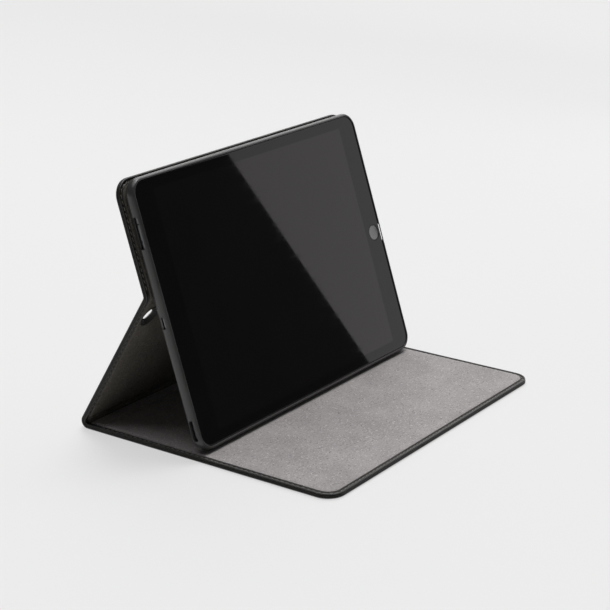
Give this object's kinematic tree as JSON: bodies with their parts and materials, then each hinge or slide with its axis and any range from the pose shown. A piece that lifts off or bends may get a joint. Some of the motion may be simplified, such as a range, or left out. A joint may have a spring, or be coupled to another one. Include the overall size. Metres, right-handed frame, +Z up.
{
  "type": "folding tablet case",
  "caption": "Book-style leather tablet case standing as an easel: flat front cover, hinged rear leg and a moulded tray that holds a tablet leaning back.",
  "frame": {"origin": "centre of the standing case's footprint, on the table", "axes": "+X along the folds to the user's right, +Y away from the user, +Z up"},
  "size_m": [0.2408, 0.1988, 0.1705],
  "materials": {
    "leather": "fine-grained black leather, satin",
    "fold_leather": "black leather creased at the fold",
    "board": "raw grey fibreboard",
    "grey_suede": "grey microfibre suede with short nap",
    "dark_suede": "dark grey microfibre suede with short nap",
    "magnet": "nickel-plated flat magnet",
    "eyelet": "black painted eyelet",
    "bond_sheet": "black foam adhesive sheet",
    "tray": "black soft-touch moulded tray",
    "tablet_metal": "bead-blasted dark grey aluminium",
    "tablet_glass": "polished black cover glass",
    "display": "dark display, switched off",
    "button": "smooth round button with a satin ring",
    "key_metal": "bead-blasted dark grey aluminium"
  },
  "bodies": {
    "cover": {"cover_leather": "leather", "cover_board": "board", "cover_suede": "grey_suede", "cover_magnet_left": "magnet", "cover_magnet_right": "magnet", "cover_fold_leather": "fold_leather"},
    "spine": {"spine_leather": "leather", "spine_board": "board", "spine_suede": "grey_suede", "rear_fold_leather": "fold_leather"},
    "leg": {"leg_leather": "leather", "leg_board": "board", "leg_suede": "dark_suede", "leg_eyelet": "eyelet", "middle_fold_leather": "fold_leather"},
    "holder": {"upper_leather": "leather", "upper_board": "board", "upper_suede": "dark_suede", "tray_bond_sheet": "bond_sheet", "tray": "tray"},
    "tablet": {"tablet_housing": "tablet_metal", "tablet_glass": "tablet_glass", "tablet_display": "display"},
    "home_button": {"home_button": "button"},
    "power_key": {"power_key": "key_metal"}
  },
  "joints": [
    {"name": "cover_fold", "type": "hinge", "parent": "cover", "child": "spine", "pos_m": [0, 0.086, 0.0015], "axis": [-1, 0, 0], "range_deg": [0, 90]},
    {"name": "rear_fold", "type": "hinge", "parent": "spine", "child": "leg", "pos_m": [0, 0.098, 0.0015], "axis": [1, 0, 0], "range_deg": [-18.6, 7.7]},
    {"name": "stand_fold", "type": "hinge", "parent": "leg", "child": "holder", "pos_m": [0, 0.03948, 0.09788], "axis": [1, 0, 0], "range_deg": [-20, 49]},
    {"name": "tablet_out", "type": "slide", "parent": "holder", "child": "tablet", "axis": [0, -0.9511, 0.309], "range_m": [0, 0.012]},
    {"name": "home_press", "type": "slide", "parent": "tablet", "child": "home_button", "axis": [0, 0.9511, -0.309], "range_m": [0, 0.0004], "stiffness_N_per_m": 1500},
    {"name": "power_press", "type": "slide", "parent": "tablet", "child": "power_key", "axis": [1, 0, 0], "range_m": [0, 0.0004], "stiffness_N_per_m": 1500}
  ],
  "couplings": [
    {"joint": "rear_fold", "follows": "stand_fold", "ratio": -0.38}
  ]
}
